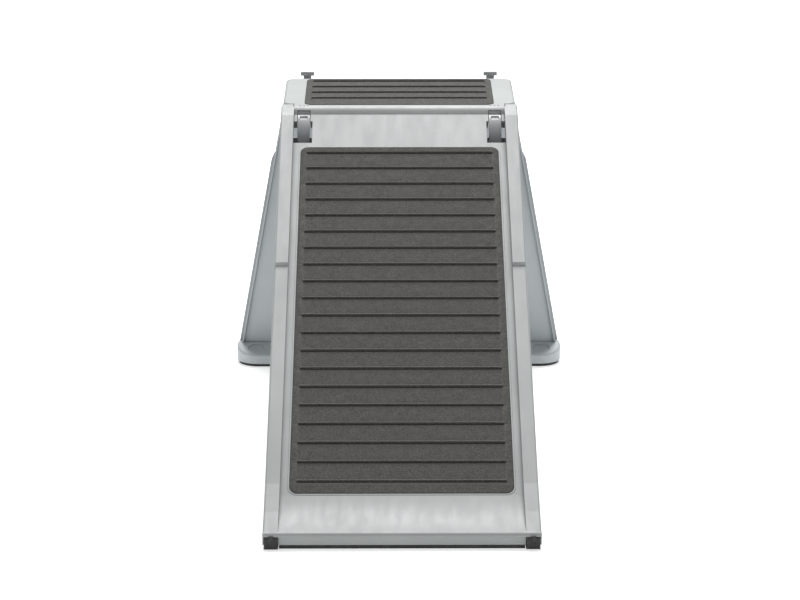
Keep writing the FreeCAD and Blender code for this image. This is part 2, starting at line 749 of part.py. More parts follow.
def build_platform_panel():
    """Platform moulding: a slab with a round nose between the ramp's cheeks and lugs for the leg."""
    body = new_body("platform_panel")
    top = sz.nose_radius
    slab_start = sz.cheek_radius + 1.5
    plan = new_sketch(body, "XY_Plane", sz.platform_skirt)
    rounded(plan, sz.platform_half, slab_start, sz.platform_depth, sz.platform_corner)
    pad(body, plan, top - sz.platform_skirt)
    ease_top = 5.0
    doc.recompute()
    ease(body, ease_top, lambda e: abs(middle(e).z - top.value) < 0.01 and middle(e).y > slab_start.value + 1)
    nose_half = sz.rail_inner + 0.8
    bridge = [(0, -top), (slab_start + 16, -top), (slab_start + 16, top), (0, top)]
    pad(body, outline(new_sketch(body, "YZ_Plane"), bridge), nose_half * 2, "Symmetric")
    pad(body, circle(new_sketch(body, "YZ_Plane"), 0, 0, sz.nose_radius), nose_half * 2, "Symmetric")
    doc.recompute()
    under = top - sz.wall
    hollow = new_sketch(body, "XY_Plane", -60)
    rounded(hollow, sz.platform_half - sz.wall, slab_start + sz.wall, sz.platform_depth - sz.wall, 10)
    pocket(body, hollow, under + 60, reverse=True)
    bore = sz.nose_bore
    nose_hollow = [(0, bore, bore), (-bore, 0), (-bore, -30), (slab_start + 10, -30), (slab_start + 10, bore)]
    pocket(body, outline(new_sketch(body, "YZ_Plane"), nose_hollow), sz.nose_bore_half * 2, "Symmetric")
    room = [(0, 0), (-25, 25), (-25, -30), (0, -30)]
    eye_room = sz.arm_eye + 0.6
    half_room = sz.arm_width / 2 + 0.6
    across(body, sz.arm_x - half_room, sz.arm_x + half_room, room, cut=True)
    across_round(body, sz.arm_x - half_room, sz.arm_x + half_room, 0, 0, eye_room, cut=True)
    across_round(body, sz.nose_bore_half - 1, nose_half + 1, 0, 0, sz.pin_radius + 0.02, cut=True)

    lugs = [
        (sz.lug_axis_y - sz.lug_radius, sz.lug_axis_z),
        (sz.lug_axis_y - sz.lug_radius - 8, under + 1),
        (sz.lug_axis_y + sz.lug_radius + 6, under + 1),
        (sz.lug_axis_y + sz.lug_radius, sz.lug_axis_z),
    ]
    eye_half = sz.rear_eye_width / 2 + 0.5
    for near in (sz.arm_x - eye_half - sz.lug_width, sz.arm_x + eye_half):
        across(body, near, near + sz.lug_width, lugs)
        across_round(body, near, near + sz.lug_width, sz.lug_axis_y, sz.lug_axis_z, sz.lug_radius)
        across_round(body, near - 1, near + sz.lug_width + 1, sz.lug_axis_y, sz.lug_axis_z,
                     sz.pin_radius + 0.02, cut=True)
    rib_low, rib_start = sz.pad_rib_low, sz.pad_rib_start
    rib_end = rib_start + sz.rib_thick
    cross = [(rib_start, under + 1), (rib_end, under + 1), (rib_end, rib_low), (rib_start, rib_low)]
    rib = pad(body, outline(new_sketch(body, "YZ_Plane"), cross), sz.platform_half * 2 - sz.wall, "Symmetric")
    doc.recompute()
    repeat(body, rib, "Y_Axis", PAD_RIBS, sz.pad_rib_pitch)
    doc.recompute()
    spine = [
        (slab_start + 9, under + 1), (slab_start + 9, rib_low),
        (sz.platform_depth - 2, rib_low), (sz.platform_depth - 2, under + 1),
    ]
    across(body, sz.spine_x, sz.spine_x + sz.rib_thick, spine)
    bar = [(1, top - 1), (9, top - 1), (9, top + 0.7), (1, top + 0.7)]
    for shift in (-7.5, -1, 5.5):
        across(body, sz.arm_x + shift, sz.arm_x + shift + 2, bar)
    recess = new_sketch(body, "XY_Plane", top - sz.mat_sink)
    rounded(recess, sz.pad_half + sz.mat_gap, sz.pad_start - sz.mat_gap, sz.pad_end + sz.mat_gap,
            sz.mat_corner)
    pocket(body, recess, 20, reverse=True)
    return on_platform(body)


def build_pins():
    """Hinge pins with their flat heads, and the ring clips at their inner ends."""
    nodes = []
    front_clips = []
    rear_clips = []
    half = sz.panel_width / 2
    for side, sign in SIDES:
        inner = sz.pin_inner
        outer = half - 0.4
        start = inner if sign > 0 else -outer
        head_start = outer - sz.head_thick if sign > 0 else -outer
        shank = rod("front_shank_" + side, sz.pin_radius, start, outer - inner, sz.hinge_y, sz.hinge_z)
        head = rod("front_head_" + side, sz.pin_head, head_start, sz.head_thick, sz.hinge_y, sz.hinge_z)
        nodes.append(fuse("front_pin_" + side, [shank, head]))
        clip_near = inner + 1.5
        clip_start = clip_near if sign > 0 else -clip_near - sz.clip_thick
        disc = rod("front_disc_" + side, sz.clip_radius, clip_start, sz.clip_thick, sz.hinge_y, sz.hinge_z)
        eye = rod("front_disc_eye_" + side, sz.pin_radius + 0.02, clip_start - 1, 4, sz.hinge_y, sz.hinge_z)
        front_clips.append(cut("front_clip_" + side, disc, eye))

        eye_half = sz.rear_eye_width / 2 + 0.5
        low = sz.arm_x - eye_half - sz.lug_width - 3
        high = sz.arm_x + eye_half + sz.lug_width
        tip = high + 0.2 + sz.head_thick
        start = low if sign > 0 else -tip
        head_start = high + 0.2 if sign > 0 else -tip
        shank = rod("rear_shank_" + side, sz.pin_radius, start, tip - low, leg_axis_y, leg_axis_z)
        head = rod("rear_head_" + side, sz.rear_pin_head, head_start, sz.head_thick, leg_axis_y, leg_axis_z)
        nodes.append(fuse("rear_pin_" + side, [shank, head]))
        clip_start = low + 1 if sign > 0 else -low - 1 - sz.clip_thick
        disc = rod("rear_disc_" + side, sz.clip_radius, clip_start, sz.clip_thick, leg_axis_y, leg_axis_z)
        eye = rod("rear_disc_eye_" + side, sz.pin_radius + 0.02, clip_start - 1, 4,
                  leg_axis_y, leg_axis_z)
        rear_clips.append(cut("rear_clip_" + side, disc, eye))
    nodes.append(group("front_pin_clips", front_clips))
    nodes.append(group("rear_pin_clips", rear_clips))
    return nodes


# ---------------------------------------------------------------- leg

def leg_half(height, inset=0):
    """Half width of the flared leg at a height over the floor, less an inset."""
    top_high = leg_axis_z + sz.leg_top
    share = (top_high - height) / top_high
    return sz.leg_half_top + (sz.leg_half_floor - sz.leg_half_top) * share - inset


def leg_outline(sketch, low, high, inset=0):
    """A symmetric flared outline between two heights over the floor."""
    low, high = as_size(low), as_size(high)
    base = leg_half(low, inset)
    crown = leg_half(high, inset)
    floor = leg_axis_z
    return outline(sketch, (
        (-base, low - floor), (base, low - floor), (crown, high - floor), (-crown, high - floor)))


def build_leg_panel():
    """Leg moulding: a flared tray with a dished face, side flanges and a deep foot."""
    body = new_body("leg_panel")
    top_high = leg_axis_z + sz.leg_top
    low = sz.sole_thick
    depth = sz.leg_back - sz.leg_front
    floor = leg_axis_z
    plan = new_sketch(body, "XY_Plane", low - floor)
    rounded(plan, sz.base_half, sz.base_front, sz.base_back, sz.base_corner)
    pad(body, plan, sz.base_high - low)
    run = sz.leg_front - sz.base_front
    fall = (sz.base_high - sz.ledge_front) / run
    ledge = [
        (sz.base_front - 10, sz.ledge_front - fall * 10 - floor), (sz.leg_front, sz.base_high - floor),
        (sz.leg_front, sz.base_high + 10 - floor), (sz.base_front - 10, sz.base_high + 10 - floor),
    ]
    pocket(body, outline(new_sketch(body, "YZ_Plane"), ledge), sz.base_half * 2 + 10, "Symmetric")

    def on_ledge(edge):
        spot = middle(edge)
        level = sz.base_high.value - floor.value + (spot.y - sz.leg_front.value) * fall.value
        return spot.y < sz.leg_front.value - 1 and abs(spot.z - level) < 0.05

    ease(body, 4, on_ledge)
    lean = Size(math.degrees(math.atan(fall.value)), "atan(%s)" % fall.text)
    dimples = tilted_sketch(body, sz.leg_front - run / 2, (sz.base_high + sz.ledge_front) / 2 - floor, lean)
    for sign in (-1, 1):
        circle(dimples, sz.dimple_x * sign, 2, sz.dimple_radius)
    pocket(body, dimples, 1.6)
    pad(body, leg_outline(new_sketch(body, "XZ_Plane", -sz.leg_front), low, top_high), depth, reverse=True)
    for sign in (-1, 1):
        strip = new_sketch(body, "XZ_Plane", -sz.leg_back)
        low_z, high_z = sz.flange_low - floor, sz.flange_high - floor
        at_low, at_high = leg_half(sz.flange_low), leg_half(sz.flange_high)
        outline(strip, (
            ((at_low - 10) * sign, low_z), ((at_low + sz.flange_out) * sign, low_z),
            ((leg_half(sz.flange_high - 12) + sz.flange_out) * sign, high_z - 12),
            ((at_high + 1) * sign, high_z), ((at_high - 10) * sign, high_z)))
        pad(body, strip, 6)
    doc.recompute()
    dish = new_sketch(body, "XZ_Plane", -sz.leg_front)
    leg_outline(dish, sz.base_high, top_high - sz.leg_rim, sz.leg_rim)
    pocket(body, dish, sz.leg_dish)
    skin = sz.leg_front + sz.leg_dish + sz.leg_wall
    cavity = new_sketch(body, "XZ_Plane", -skin)
    leg_outline(cavity, sz.base_high + 4, top_high - sz.leg_wall, sz.leg_wall)
    pocket(body, cavity, 60)
    underfoot = new_sketch(body, "XY_Plane", low - leg_axis_z)
    rounded(underfoot, sz.base_half - 12, sz.base_front + 6, sz.base_back - 6, 20)
    pocket(body, underfoot, sz.ledge_front - low - 5, reverse=True)

    notch_back = skin + sz.arm_thick + 0.3
    notch_low, notch_top = sz.leg_top - sz.leg_wall - 1, sz.leg_top + 1
    notch = [(skin, notch_top), (skin, notch_low), (notch_back, notch_low), (notch_back, notch_top)]
    notch_half = sz.rear_eye_width / 2 + 0.5
    across(body, sz.arm_x - notch_half, sz.arm_x + notch_half, notch, cut=True)

    tail_holes = new_sketch(body, "XZ_Plane", 10)
    for sign in (-1, 1):
        for drop in rear_screws():
            circle(tail_holes, sz.arm_x * sign, drop, sz.screw_radius + sz.pin_play)
    rib_deep = sz.leg_back - skin - 1
    for order in range(LEG_SLATS):
        height = sz.slat_low + sz.slat_pitch * order
        slat = new_sketch(body, "XZ_Plane", -(skin - 1))
        reach = leg_half(height, 2)
        rectangle(slat, -reach, reach, height - leg_axis_z, height + sz.rib_thick - leg_axis_z)
        pad(body, slat, rib_deep, reverse=True)
    for sign in (-1, 1):
        for order in range(2):
            post_x = (sz.post_x + sz.post_pitch * order) * sign
            upright = new_sketch(body, "XZ_Plane", -(skin - 1))
            rectangle(upright, post_x - sz.rib_thick / 2, post_x + sz.rib_thick / 2,
                      sz.base_high + 2 - leg_axis_z, sz.leg_top - 2)
            pad(body, upright, rib_deep, reverse=True)
    doc.recompute()
    pocket(body, tail_holes, 40)
    return on_leg(body)


def build_rear_arm(side, sign):
    """Leg hinge arm: an eye on the pin, a tail on the leg and a T-headed stop behind the platform."""
    body = new_body("rear_arm_" + side)
    start = sz.arm_x * sign - sz.rear_eye_width / 2
    width = sz.rear_eye_width
    skin = sz.leg_front + sz.leg_dish + sz.leg_wall
    pad(body, circle(new_sketch(body, "YZ_Plane", start), 0, 0, sz.rear_eye), width)
    back = skin + sz.arm_thick
    tail = [(-3, 0), (-3, -6), (skin, -12), (skin, -18), (back, -18), (back, 0)]
    pad(body, outline(new_sketch(body, "YZ_Plane", start), tail), width)
    neck = [
        (0, -4.5), (23, -1), (27, 4), (27, 48), (22.2, 48), (22.2, 8), (17, 4.5), (0, 4.5),
    ]
    pad(body, outline(new_sketch(body, "YZ_Plane", start), neck), width)
    head_start = sz.arm_x * sign - sz.stop_width / 2
    head = [(20.4, 46.5), (27, 46.5), (27, 52), (25.5, 53.5), (22, 53.5), (20.4, 52)]
    pad(body, outline(new_sketch(body, "YZ_Plane", head_start), head), sz.stop_width)
    plate = new_sketch(body, "YZ_Plane", sz.arm_x * sign - sz.arm_width / 2)
    plate_top = sz.leg_top - sz.leg_wall - 0.5
    outline(plate, [(skin, plate_top), (back, plate_top), (back, -72), (skin, -72)])
    pad(body, plate, sz.arm_width)
    bore = circle(new_sketch(body, "YZ_Plane", start - 1), 0, 0, sz.pin_radius + sz.pin_play)
    pocket(body, bore, width + 2, reverse=True)
    holes = new_sketch(body, "XZ_Plane", 10)
    for drop in rear_screws():
        circle(holes, sz.arm_x * sign, drop, sz.screw_radius + sz.pin_play)
    pocket(body, holes, 40)
    return on_leg(body)


def build_leg_sole():
    """Rubber sole under the leg's foot."""
    body = new_body("leg_sole")
    plan = new_sketch(body, "XY_Plane")
    rounded(plan, sz.base_half - 3, sz.base_front + 2, sz.base_back - 2, sz.base_corner - 2)
    pad(body, plan, sz.sole_thick)
    hollow = new_sketch(body, "XY_Plane", -1)
    rounded(hollow, sz.base_half - 13, sz.base_front + 14, sz.base_back - 14, sz.base_corner / 2)
    pocket(body, hollow, sz.sole_thick + 2, reverse=True)
    return place(body, 0, leg_axis_y, 0)


def build_arm_screws():
    """Pan-head screws that hold the arms' tails to the ramp's seats and to the leg."""
    front = []
    rear = []
    skin = sz.leg_front + sz.leg_dish + sz.leg_wall
    for side, sign in SIDES:
        for order, spot in enumerate(seat_screws()):
            tag = "%s_%d" % (side, order)
            x = sz.arm_x * sign
            low = sz.seat_z - sz.seat_thick
            under = low - 0.02 - sz.screw_head_thick
            head = post("front_screw_head_" + tag, sz.screw_head, sz.screw_head_thick, x, spot, under)
            shank = post("front_screw_shank_" + tag, sz.screw_radius, 9, x, spot, low - 1.5)
            front.append(fuse("front_screw_" + tag, [head, shank]))
        for order, drop in enumerate(rear_screws()):
            tag = "%s_%d" % (side, order)
            x = sz.arm_x * sign
            back = skin + sz.arm_thick
            head = peg("rear_screw_head_" + tag, sz.screw_head, sz.screw_head_thick, x, back + 0.02, drop)
            shank = peg("rear_screw_shank_" + tag, sz.screw_radius, 9, x, back - 8, drop)
            rear.append(fuse("rear_screw_" + tag, [head, shank]))
    return [on_ramp(group("front_arm_screws", front)), on_leg(group("rear_arm_screws", rear))]


# ---------------------------------------------------------------- assembly and export

def build_all():
    nodes = [build_ramp_panel()]
    ramp_mat = build_mat("ramp_mat", sz.mat_half, -sz.mat_end, -sz.mat_start, sz.deck_z - sz.mat_sink,
                         -sz.tread_first, TREADS, True)
    nodes.append(on_ramp(ramp_mat))
    nodes += build_ramp_feet()
    nodes.append(build_platform_panel())
    pad_mat = build_mat("platform_mat", sz.pad_half, sz.pad_start, sz.pad_end,
                        sz.nose_radius - sz.mat_sink, sz.pad_tread_first, PAD_TREADS, False)
    nodes.append(on_platform(pad_mat))
    for side, sign in SIDES:
        nodes.append(build_front_arm(side, sign))
        nodes.append(build_rear_arm(side, sign))
    nodes += build_pins()
    nodes.append(build_leg_panel())
    nodes.append(build_leg_sole())
    nodes += build_arm_screws()
    return nodes


def check(nodes):
    """Stops before anything is written if an object failed or a shape is unusable."""
    for item in doc.Objects:
        if "Invalid" in item.State or "Error" in item.State:
            raise RuntimeError("%s did not build: %s" % (item.Label, item.State))
    for node in nodes:
        if node.Shape.isNull() or not node.Shape.isValid() or not node.Shape.Solids:
            raise RuntimeError("%s has no valid solid" % node.Label)


parts = build_all()
doc.recompute()
check(parts)
os.makedirs("parts", exist_ok=True)
for part in parts:
    part.Shape.exportStep("parts/%s.step" % part.Label)
    box = part.Shape.BoundBox
    print("%-18s %d solid(s) %9.1f mm3  x %.1f %.1f  y %.1f %.1f  z %.1f %.1f" % (
        part.Label, len(part.Shape.Solids), part.Shape.Volume,
        box.XMin, box.XMax, box.YMin, box.YMax, box.ZMin, box.ZMax))
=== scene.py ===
import json
import logging
import math
from dataclasses import dataclass, field
from enum import Enum

import bmesh
import bpy
from mathutils import Matrix, Vector


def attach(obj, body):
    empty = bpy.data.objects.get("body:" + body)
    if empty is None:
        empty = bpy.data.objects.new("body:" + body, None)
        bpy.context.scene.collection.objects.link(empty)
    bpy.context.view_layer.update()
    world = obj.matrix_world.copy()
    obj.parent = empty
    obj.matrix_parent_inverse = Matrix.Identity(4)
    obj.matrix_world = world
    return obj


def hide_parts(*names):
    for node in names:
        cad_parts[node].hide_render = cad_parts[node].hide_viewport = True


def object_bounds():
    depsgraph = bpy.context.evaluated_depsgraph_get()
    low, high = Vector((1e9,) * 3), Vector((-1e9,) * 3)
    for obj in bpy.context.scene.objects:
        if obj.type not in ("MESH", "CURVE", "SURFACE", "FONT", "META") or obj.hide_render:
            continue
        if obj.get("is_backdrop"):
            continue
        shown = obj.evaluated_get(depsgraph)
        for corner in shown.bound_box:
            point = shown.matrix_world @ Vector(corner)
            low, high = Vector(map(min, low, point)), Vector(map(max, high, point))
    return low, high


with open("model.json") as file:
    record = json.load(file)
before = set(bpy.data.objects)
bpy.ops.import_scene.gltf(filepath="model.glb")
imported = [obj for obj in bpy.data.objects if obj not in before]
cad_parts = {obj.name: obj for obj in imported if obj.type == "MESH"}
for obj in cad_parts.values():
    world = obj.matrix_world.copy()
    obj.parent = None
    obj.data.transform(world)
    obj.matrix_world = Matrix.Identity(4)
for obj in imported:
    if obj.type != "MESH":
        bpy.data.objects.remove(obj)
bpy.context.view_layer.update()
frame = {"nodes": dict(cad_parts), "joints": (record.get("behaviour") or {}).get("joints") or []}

LOG = logging.getLogger("dog_ramp")
MM = 0.001
SLOPE_DEGREES = 30.44
TILT_DEGREES = 5.0


class Body(Enum):
    """The rigid bodies of the folding ramp."""

    PLATFORM = "platform"
    RAMP = "ramp"
    LEG = "leg"


class Slot(Enum):
    """The material slots that the pieces take their finish from."""

    RAMP_PLASTIC = "ramp_plastic"
    PLATFORM_PLASTIC = "platform_plastic"
    LEG_PLASTIC = "leg_plastic"
    TREAD_MAT = "tread_mat"
    BLACK_RUBBER = "black_rubber"
    ARM = "arm_plastic"
    PIN = "pin_steel"
    SCREW = "screw_steel"


# ---------------------------------------------------------------- finishes

class ShaderBoard:
    """A material's node tree, with short calls for the nodes that the finishes share."""

    def __init__(self, name: str) -> None:
        """Starts an empty material.

        Args:
            name: The material's name.
        """
        self.material = bpy.data.materials.new(name)
        self.material.use_nodes = True
        self.tree = self.material.node_tree
        self.shader = self.tree.nodes["Principled BSDF"]
        self.place = self.tree.nodes.new("ShaderNodeTexCoord").outputs["Object"]

    def node(self, kind: str, **settings: object) -> bpy.types.Node:
        """Adds a node.

        Args:
            kind: The node's type, without the word ShaderNode.
            **settings: Properties of the node by name.

        Returns:
            The new node.
        """
        item = self.tree.nodes.new("ShaderNode" + kind)
        for key, value in settings.items():
            setattr(item, key, value)
        return item

    def link(self, source: bpy.types.NodeSocket, target: bpy.types.NodeSocket) -> None:
        """Joins an output to an input."""
        self.tree.links.new(source, target)

    def fix(self, **values: float) -> None:
        """Sets constants on the shader's own sockets, an underscore standing for a space.

        Args:
            **values: Socket names and their constants.
        """
        for key, value in values.items():
            self.shader.inputs[key.replace("_", " ")].default_value = value

    def turned(self, stretch: tuple[float, float, float], tilt: float) -> bpy.types.NodeSocket:
        """The piece's own coordinates, turned about x and then stretched.

        Args:
            stretch: How many times finer the pattern is along each axis.
            tilt: Turn about x, in radians.

        Returns:
            A vector socket.
        """
        level = self.node("Mapping")
        level.inputs["Rotation"].default_value = (-tilt, 0.0, 0.0)
        self.link(self.place, level.inputs["Vector"])
        scaled = self.node("Mapping")
        scaled.inputs["Scale"].default_value = stretch
        self.link(level.outputs["Vector"], scaled.inputs["Vector"])
        return scaled.outputs["Vector"]

    def noise(self, scale: float, detail: float = 3.0, stretch: tuple[float, float, float] = (1, 1, 1),
              tilt: float = 0.0) -> bpy.types.NodeSocket:
        """A noise from 0 to 1.

        Args:
            scale: Features in a metre.
            detail: Octaves.
            stretch: How many times finer it is along each axis.
            tilt: Turn about x, in radians.

        Returns:
            The noise's factor socket.
        """
        item = self.node("TexNoise")
        item.inputs["Scale"].default_value = scale
        item.inputs["Detail"].default_value = detail
        self.link(self.turned(stretch, tilt), item.inputs["Vector"])
        return item.outputs["Fac"]

    def cells(self, scale: float, feature: str = "SMOOTH_F1") -> bpy.types.NodeSocket:
        """A Voronoi pattern's distance.

        Args:
            scale: Cells in a metre.
            feature: The kind of distance.

        Returns:
            The distance socket.
        """
        item = self.node("TexVoronoi", feature=feature)
        item.inputs["Scale"].default_value = scale
        self.link(self.place, item.inputs["Vector"])
        return item.outputs["Distance"]

    def spread(self, factor: bpy.types.NodeSocket, start: float, end: float, low: float,
               high: float) -> bpy.types.NodeSocket:
        """Maps a factor from one range to another, clamped.

        Args:
            factor: The socket to map.
            start: Value that becomes low.
            end: Value that becomes high.
            low: First output.
            high: Last output.

        Returns:
            The mapped socket.
        """
        item = self.node("MapRange", interpolation_type="SMOOTHSTEP")
        for key, value in (("From Min", start), ("From Max", end), ("To Min", low), ("To Max", high)):
            item.inputs[key].default_value = value
        self.link(factor, item.inputs["Value"])
        return item.outputs["Result"]

    def tones(self, factor: bpy.types.NodeSocket, first: "Colour", last: "Colour") -> bpy.types.NodeSocket:
        """Blends two fixed colours.

        Args:
            factor: From 0 for the first colour to 1 for the last.
            first: First colour.
            last: Last colour.

        Returns:
            A colour socket.
        """
        item = self.node("Mix", data_type="RGBA")
        item.inputs["A"].default_value = first.rgba()
        item.inputs["B"].default_value = last.rgba()
        self.link(factor, item.inputs["Factor"])
        return item.outputs["Result"]

    def over(self, below: bpy.types.NodeSocket, factor: bpy.types.NodeSocket,
             top: "Colour") -> bpy.types.NodeSocket:
        """Lays a fixed colour over a changing one.

        Args:
            below: The colour underneath.
            factor: How much of the top colour shows.
            top: The colour on top.

        Returns:
            A colour socket.
        """
        item = self.node("Mix", data_type="RGBA")
        item.inputs["B"].default_value = top.rgba()
        self.link(below, item.inputs["A"])
        self.link(factor, item.inputs["Factor"])
        return item.outputs["Result"]

    def relief(self, height: bpy.types.NodeSocket, depth: float, strength: float,
               normal: bpy.types.NodeSocket) -> bpy.types.NodeSocket:
        """Adds a bump to a normal.

        Args:
            height: The relief, from 0 to 1.
            depth: Its depth in metres.
            strength: Share of it that shows.
            normal: The normal it stands on.

        Returns:
            The new normal.
        """
        item = self.node("Bump")
        item.inputs["Strength"].default_value = strength
        item.inputs["Distance"].default_value = depth
        self.link(height, item.inputs["Height"])
        self.link(normal, item.inputs["Normal"])
        return item.outputs["Normal"]

    def soft_edges(self, radius: float) -> bpy.types.NodeSocket:
        """A normal that rounds sharp edges.

        Args:
            radius: Radius in metres.

        Returns:
            A normal socket.
        """
        item = self.node("Bevel", samples=6)
        item.inputs["Radius"].default_value = radius
        return item.outputs["Normal"]

    def corners(self, reach: float) -> bpy.types.NodeSocket:
        """How open the surface is, from 0 deep in a corner to 1 in the open.

        Args:
            reach: How far the corner's shade reaches, in metres.

        Returns:
            The openness.
        """
        item = self.node("AmbientOcclusion", samples=8, only_local=True)
        item.inputs["Distance"].default_value = reach
        return item.outputs["AO"]

    def finish(self, colour: bpy.types.NodeSocket, rough: bpy.types.NodeSocket,
               normal: bpy.types.NodeSocket) -> bpy.types.Material:
        """Joins the three changing channels to the shader.

        Args:
            colour: Base colour.
            rough: Roughness.
            normal: Normal.

        Returns:
            The finished material.
        """
        self.link(colour, self.shader.inputs["Base Color"])
        self.link(rough, self.shader.inputs["Roughness"])
        self.link(normal, self.shader.inputs["Normal"])
        return self.material


@dataclass(frozen=True)
class Colour:
    """A linear colour."""

    red: float
    green: float
    blue: float

    def rgba(self) -> tuple[float, float, float, float]:
        """The colour with full alpha."""
        return (self.red, self.green, self.blue, 1.0)

    def times(self, share: float) -> "Colour":
        """The colour scaled, at most white."""
        return Colour(*[min(1.0, c * share) for c in (self.red, self.green, self.blue)])


@dataclass(frozen=True)
class MouldedPlastic:
    """Satin moulded plastic with a fine spark-eroded grain, faint clouding, scuffs and painted shade
    darkening its corners and crevices.
    """

    name: str
    colour: Colour
    clouding: float = 0.045
    gloss: float = 0.5
    tilt: float = 0.0
    smears: float = 0.12

    def material(self) -> bpy.types.Material:
        """Builds the material."""
        board = ShaderBoard(self.name)
        cloud = board.spread(board.noise(9.0, 4.0, tilt=self.tilt), 0.3, 0.7, 0.0, 1.0)
        dark, light = self.colour.times(1 - self.clouding), self.colour.times(1 + self.clouding)
        base = board.tones(cloud, dark, light)
        smear = board.spread(
            board.noise(5.0, 5.0, stretch=(1.0, 3.5, 3.5), tilt=self.tilt), 0.56, 0.8, 0.0, self.smears)
        base = board.over(base, smear, self.colour.times(1.28))
        fleck = board.spread(board.noise(900.0, 2.0), 0.6, 0.78, 0.0, 0.25)
        base = board.over(base, fleck, self.colour.times(0.72))
        # painted shade: the colour darkens deep in corners and crevices, standing in for the shade that
        # falls there
        corner_shade = board.spread(board.corners(0.014), 0.15, 0.8, 0.75, 0.0)
        base = board.over(base, corner_shade, self.colour.times(0.35))
        scuff = board.noise(60.0, 6.0, stretch=(1.0, 0.25, 1.0), tilt=self.tilt)
        rough = board.spread(scuff, 0.35, 0.72, self.gloss - 0.02, self.gloss + 0.06)
        normal = board.soft_edges(0.9 * MM)
        normal = board.relief(board.noise(14.0, 2.0), 0.4 * MM, 0.2, normal)
        normal = board.relief(board.noise(1400.0, 2.0), 0.12 * MM, 0.5, normal)
        board.fix(Specular_IOR_Level=0.45)
        return board.finish(base, rough, normal)


@dataclass(frozen=True)
class GripMat:
    """Pebbled rubber tread mat with faint dust, a painted highlight along the bars' crests and painted
    shade in their grooves and corners.
    """

    name: str
    colour: Colour

    def material(self) -> bpy.types.Material:
        """Builds the material."""
        board = ShaderBoard(self.name)
        pebble = board.cells(520.0)
        pits = board.spread(pebble, 0.05, 0.62, 0.0, 1.0)
        base = board.tones(pits, self.colour.times(1.25), self.colour.times(0.62))
        speck = board.spread(board.noise(760.0, 1.0), 0.55, 0.75, 0.0, 0.75)
        base = board.over(base, speck, self.colour.times(1.9))
        dust = board.spread(board.noise(6.0, 4.0), 0.45, 0.8, 0.0, 0.05)
        base = board.over(base, dust, self.colour.times(1.5))
        # painted highlight: the sharp crests of the bars are lightened, standing in for the light from
        # behind catching them
        crest = board.node("NewGeometry").outputs["Pointiness"]
        base = board.over(base, board.spread(crest, 0.52, 0.58, 0.0, 0.85), self.colour.times(4.0))
        # painted shade: the colour darkens in the grooves and corners round the bars, standing in for the
        # shadow in front of each bar
        groove_shade = board.spread(board.corners(0.005), 0.1, 0.7, 0.9, 0.0)
        base = board.over(base, groove_shade, self.colour.times(0.12))
        rough = board.spread(board.noise(90.0, 3.0), 0.3, 0.7, 0.74, 0.84)
        normal = board.soft_edges(0.4 * MM)
        normal = board.relief(pebble, 0.7 * MM, 0.8, normal)
        normal = board.relief(board.noise(1500.0, 2.0), 0.2 * MM, 0.5, normal)
        board.fix(Specular_IOR_Level=0.32)
        return board.finish(base, rough, normal)


@dataclass(frozen=True)
class BlackRubber:
    """Plain black rubber of the feet and the sole, greyed a little by wear."""

    name: str
    colour: Colour

    def material(self) -> bpy.types.Material:
        """Builds the material."""
        board = ShaderBoard(self.name)
        worn = board.spread(board.noise(70.0, 5.0), 0.45, 0.75, 0.0, 1.0)
        base = board.tones(worn, self.colour, self.colour.times(2.4))
        rough = board.spread(board.noise(240.0, 3.0), 0.3, 0.7, 0.52, 0.74)
        normal = board.soft_edges(0.7 * MM)
        normal = board.relief(board.noise(900.0, 3.0), 0.25 * MM, 0.6, normal)
        return board.finish(base, rough, normal)


@dataclass(frozen=True)
class WorkedSteel:
    """Steel with fine tool marks, across a turned part or along a brushed one."""

    name: str
    colour: Colour
    marks: tuple[float, float, float] = (1.0, 1.0, 1.0)
    tilt: float = 0.0
    roughness: float = 0.3

    def material(self) -> bpy.types.Material:
        """Builds the material."""
        board = ShaderBoard(self.name)
        lines = board.noise(700.0, 3.0, stretch=self.marks, tilt=self.tilt)
        tone = board.spread(lines, 0.3, 0.7, 0.0, 1.0)
        base = board.tones(tone, self.colour.times(0.86), self.colour.times(1.1))
        stain = board.spread(board.noise(90.0, 4.0), 0.55, 0.8, 0.0, 0.35)
        base = board.over(base, stain, self.colour.times(0.6))
        rough = board.spread(lines, 0.3, 0.7, self.roughness - 0.05, self.roughness + 0.12)
        normal = board.soft_edges(0.35 * MM)
        normal = board.relief(lines, 0.06 * MM, 0.6, normal)
        board.fix(Metallic=0.9)
        return board.finish(base, rough, normal)


